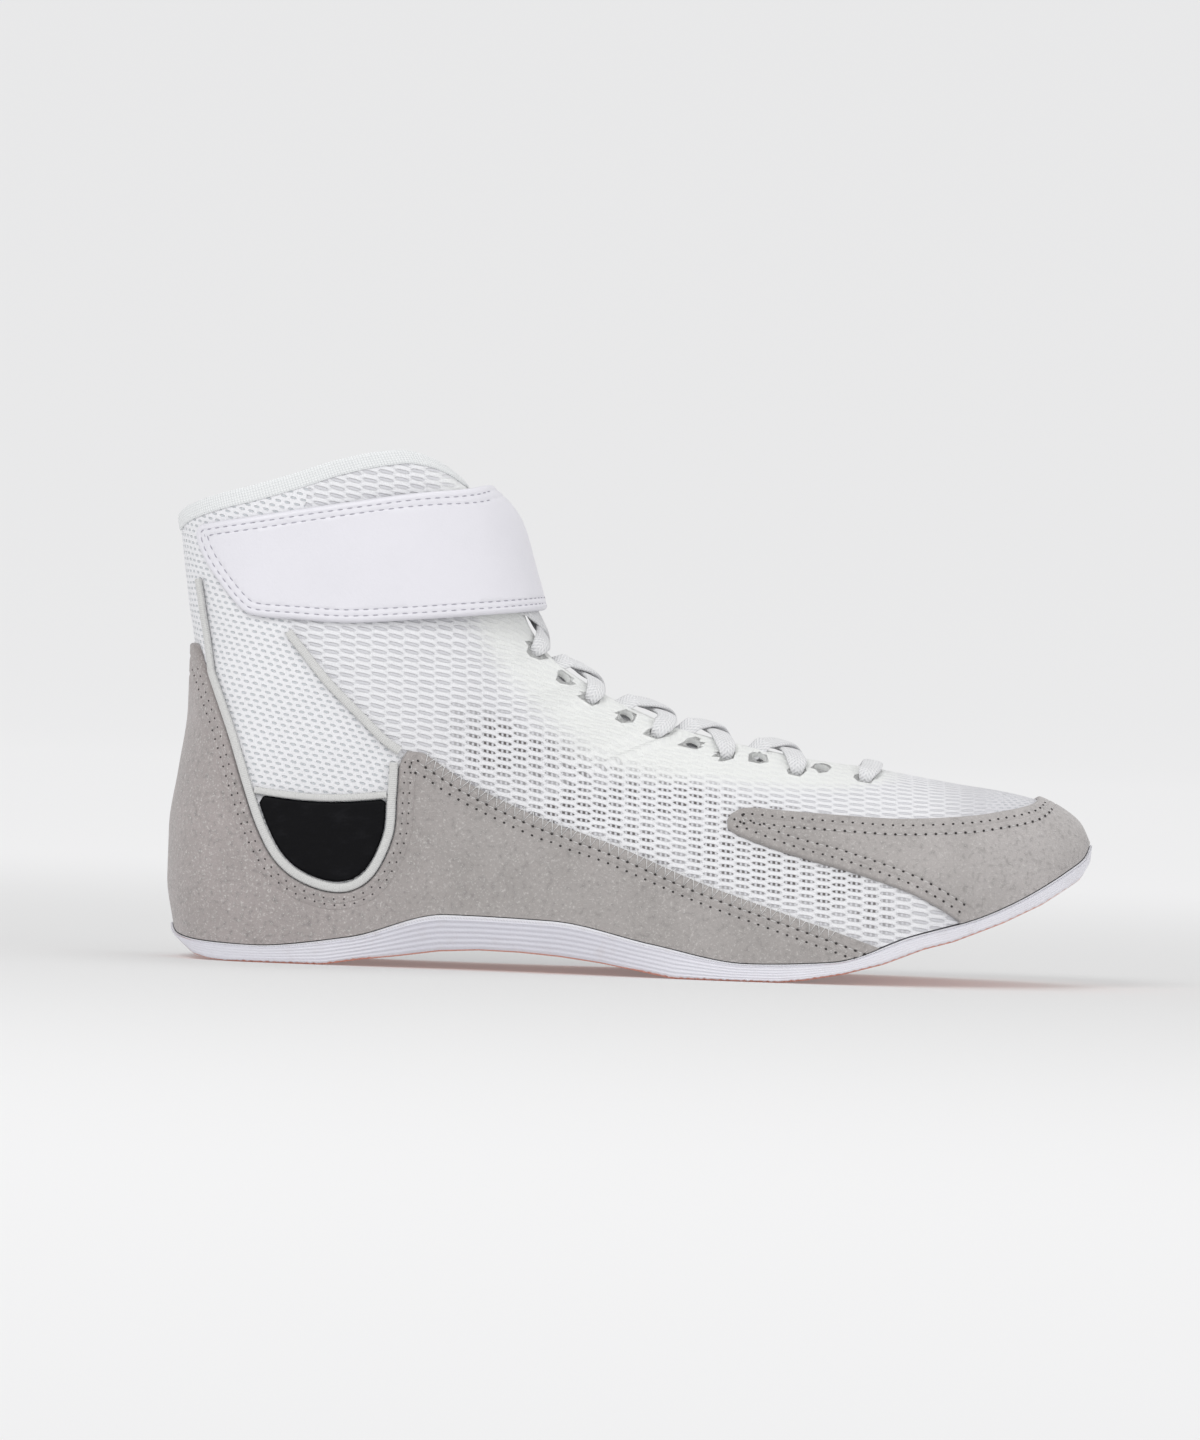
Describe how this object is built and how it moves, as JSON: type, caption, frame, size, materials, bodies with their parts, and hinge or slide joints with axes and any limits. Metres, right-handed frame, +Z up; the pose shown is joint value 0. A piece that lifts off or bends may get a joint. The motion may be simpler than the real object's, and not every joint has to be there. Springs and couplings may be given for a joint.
{
  "type": "wrestling shoe",
  "caption": "White and grey ankle-high wrestling shoe for the right foot, with mesh upper, suede panels, flat laces, an ankle strap and a thin rubber sole.",
  "frame": {"origin": "middle of the shoe's box, on the floor", "axes": "+X toward the toe, +Y toward the inner side of the foot, +Z up"},
  "size_m": [0.2885, 0.0976, 0.1598],
  "materials": {
    "white_rubber": "matt moulded rubber",
    "insole_fabric": "knitted cloth over foam",
    "white_mesh": "coarse air mesh",
    "grey_suede": "short nap suede",
    "black_synthetic": "smooth synthetic",
    "white_piping": "woven tape",
    "knit_binding": "knitted band",
    "tongue_fabric": "padded cloth",
    "white_strap": "smooth synthetic",
    "white_lace": "flat woven lace"
  },
  "bodies": {
    "root": {"outsole": "white_rubber", "insole": "insole_fabric", "upper": "white_mesh", "heel_side_panel": "grey_suede", "toe_cap": "grey_suede", "gusset_lateral": "black_synthetic", "gusset_medial": "black_synthetic", "gusset_piping_lateral": "white_piping", "gusset_piping_medial": "white_piping", "v_piping_lateral": "white_piping", "v_piping_medial": "white_piping", "wedge_piping_lateral": "white_piping", "wedge_piping_medial": "white_piping", "collar_binding": "knit_binding", "tongue": "tongue_fabric", "ankle_strap": "white_strap", "lace_toe_bar": "white_lace", "lace_crossing_1": "white_lace", "lace_crossing_2": "white_lace", "lace_crossing_3": "white_lace", "lace_crossing_4": "white_lace", "lace_crossing_5": "white_lace"}
  },
  "joints": []
}
